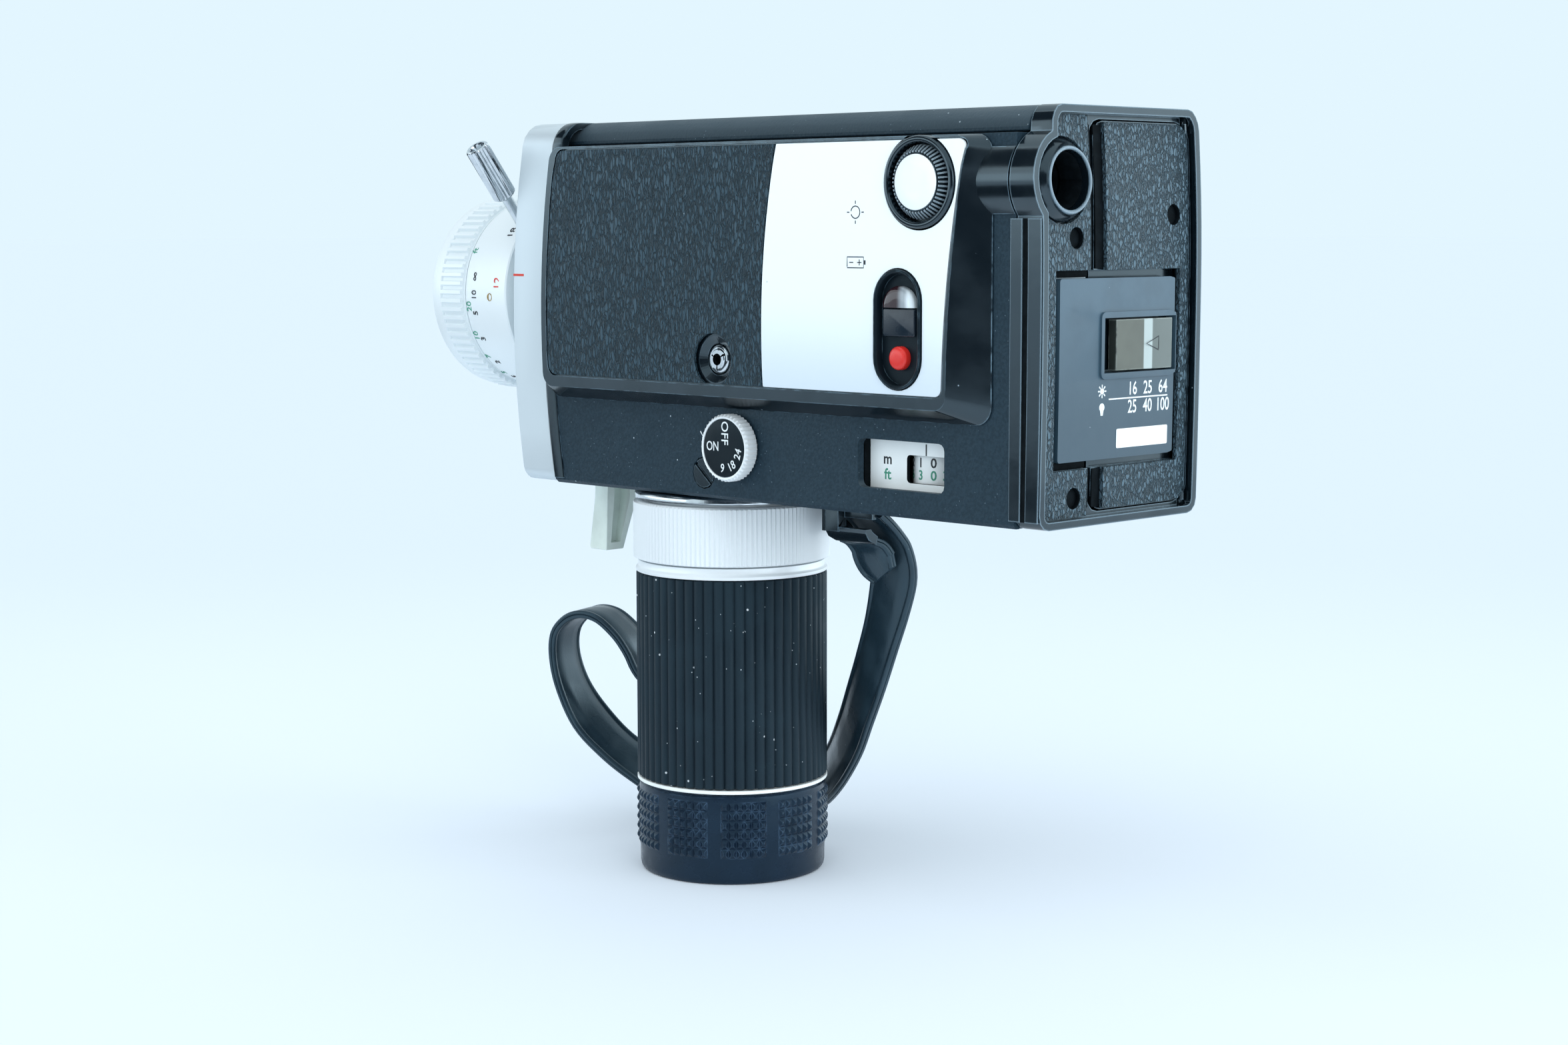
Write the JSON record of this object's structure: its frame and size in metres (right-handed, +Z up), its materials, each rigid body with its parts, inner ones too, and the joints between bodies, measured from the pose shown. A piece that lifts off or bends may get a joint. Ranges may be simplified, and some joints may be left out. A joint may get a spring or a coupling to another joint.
{
  "type": "cine camera",
  "caption": "Cartridge-loading cine camera with zoom lens, raised side pod, hinged rear film door, trigger, ribbed battery pistol grip and wrist strap.",
  "frame": {"origin": "centre of the flat base of the pistol grip", "axes": "+Z up along the grip, -Y the way the lens looks, +X the operator's left, the side with the controls"},
  "size_m": [0.0724, 0.1965, 0.1725],
  "materials": {
    "black_crinkle": "fine crinkle paint",
    "black_gloss": "gloss black moulding",
    "brass": "turned",
    "cell_wrap": "wrapped battery cell",
    "chrome": "polished",
    "glass": "coated",
    "inner_black": "matte black",
    "ivory": "smooth ivory",
    "leatherette": "grained black leatherette",
    "navy_plastic": "blue-black moulding",
    "olive": "satin olive",
    "red": "smooth red",
    "rubber": "ribbed",
    "satin_aluminium": "satin",
    "silver_panel": "bright brushed",
    "slate": "satin slate blue",
    "smoke": "dark lens",
    "steel": "plain",
    "vinyl": "black vinyl",
    "white": "white"
  },
  "bodies": {
    "camera": {"access_plug": "black_gloss", "battery_cell_1": "cell_wrap", "battery_cell_2": "cell_wrap", "battery_cell_3": "cell_wrap", "battery_cell_4": "cell_wrap", "battery_contacts": "brass", "beam_prism": "glass", "body_shell": "black_crinkle", "check_bezel": "black_gloss", "check_lamp": "smoke", "counter_mask": "white", "eyepiece_lens": "glass", "eyepiece_ring": "black_gloss", "film_chamber": "inner_black", "film_gate": "brass", "finder_tube": "inner_black", "front_plate": "satin_aluminium", "grip_flange": "chrome", "grip_sleeve": "rubber", "grip_tube": "satin_aluminium", "jack_socket": "chrome", "knob_bezel": "black_gloss", "lens_barrel": "inner_black", "mechanism_plate": "steel", "motor": "steel", "motor_cradle": "inner_black", "pod_leatherette": "leatherette", "rear_frame": "black_gloss", "rear_lens_group": "glass", "rear_strip_leather": "leatherette", "side_cover": "black_crinkle", "side_pod": "black_gloss", "silver_panel": "silver_panel", "strap": "vinyl", "strap_keeper": "vinyl", "strap_lug": "black_gloss", "trigger_bracket": "steel", "trim_ring": "silver_panel"},
    "lock_ring": {"lock_ring": "satin_aluminium"},
    "battery_cap": {"battery_cap": "navy_plastic", "cap_contact": "brass"},
    "focus_ring": {"focus_ring": "satin_aluminium", "front_cell": "inner_black", "front_element": "glass"},
    "zoom_ring": {"zoom_ring": "satin_aluminium", "zoom_lever": "chrome"},
    "zoom_lens_group": {"zoom_lens_group": "glass"},
    "finder_focus_knob": {"finder_focus_knob": "black_gloss"},
    "check_button": {"check_button": "red"},
    "mode_dial": {"mode_dial": "satin_aluminium"},
    "trigger": {"trigger": "ivory"},
    "rear_door": {"rear_door": "black_gloss", "door_leather": "leatherette", "latch_plate": "slate"},
    "latch_slider": {"latch_slider": "olive"},
    "takeup_spindle": {"takeup_spindle": "brass"},
    "motor_rotor": {"motor_rotor": "brass"},
    "shutter_disc": {"shutter_disc": "inner_black"},
    "counter_drum": {"counter_drum": "white"}
  },
  "joints": [
    {"name": "lock_ring_turn", "type": "hinge", "parent": "camera", "child": "lock_ring", "pos_m": [0, 0, 0.08], "axis": [0, 0, 1], "range_deg": [0, 120]},
    {"name": "battery_cap_turn", "type": "hinge", "parent": "camera", "child": "battery_cap", "pos_m": [0, 0, 0.01], "axis": [0, 0, 1], "range_deg": [0, 90]},
    {"name": "focus_turn", "type": "hinge", "parent": "camera", "child": "focus_ring", "pos_m": [-0.0035, -0.06, 0.1324], "axis": [0, 1, 0], "range_deg": [-60, 180]},
    {"name": "zoom_turn", "type": "hinge", "parent": "camera", "child": "zoom_ring", "pos_m": [-0.0035, -0.06, 0.1324], "axis": [0, 1, 0], "range_deg": [-60, 40]},
    {"name": "zoom_group_slide", "type": "slide", "parent": "camera", "child": "zoom_lens_group", "axis": [0, 1, 0], "range_m": [-0.0105, 0.007]},
    {"name": "finder_focus_turn", "type": "hinge", "parent": "camera", "child": "finder_focus_knob", "pos_m": [0.0246, 0.082, 0.1575], "axis": [1, 0, 0], "range_deg": [-90, 90]},
    {"name": "check_button_press", "type": "slide", "parent": "camera", "child": "check_button", "axis": [-1, 0, 0], "range_m": [0, 0.0013], "stiffness_N_per_m": 300},
    {"name": "mode_dial_turn", "type": "hinge", "parent": "camera", "child": "mode_dial", "pos_m": [0.0224, 0.0242, 0.1008], "axis": [1, 0, 0], "range_deg": [-90, 90]},
    {"name": "trigger_pull", "type": "hinge", "parent": "camera", "child": "trigger", "pos_m": [0.0015, -0.031, 0.095], "axis": [1, 0, 0], "range_deg": [0, 6], "stiffness_Nm_per_rad": 0.5},
    {"name": "door_swing", "type": "hinge", "parent": "camera", "child": "rear_door", "pos_m": [-0.027, 0.108, 0.13], "axis": [0, 0, 1], "range_deg": [0, 90]},
    {"name": "latch_slide", "type": "slide", "parent": "rear_door", "child": "latch_slider", "axis": [1, 0, 0], "range_m": [0, 0.0035]},
    {"name": "takeup_turn", "type": "hinge", "parent": "camera", "child": "takeup_spindle", "pos_m": [0.009, 0.068, 0.131], "axis": [1, 0, 0], "continuous": true},
    {"name": "rotor_turn", "type": "hinge", "parent": "camera", "child": "motor_rotor", "pos_m": [0.0115, 0.04, 0.1097], "axis": [0, 1, 0], "continuous": true},
    {"name": "shutter_turn", "type": "hinge", "parent": "camera", "child": "shutter_disc", "pos_m": [0.00195, 0.014, 0.1202], "axis": [0, 1, 0], "continuous": true},
    {"name": "counter_turn", "type": "hinge", "parent": "camera", "child": "counter_drum", "pos_m": [0.0101, 0.0746, 0.0988], "axis": [0, 0, 1], "continuous": true}
  ],
  "couplings": [
    {"joint": "zoom_group_slide", "follows": "zoom_turn", "m_per_rad": 0.01},
    {"joint": "rotor_turn", "follows": "takeup_turn", "ratio": 20},
    {"joint": "shutter_turn", "follows": "takeup_turn", "ratio": -11.111},
    {"joint": "counter_turn", "follows": "takeup_turn", "ratio": 0.05}
  ]
}
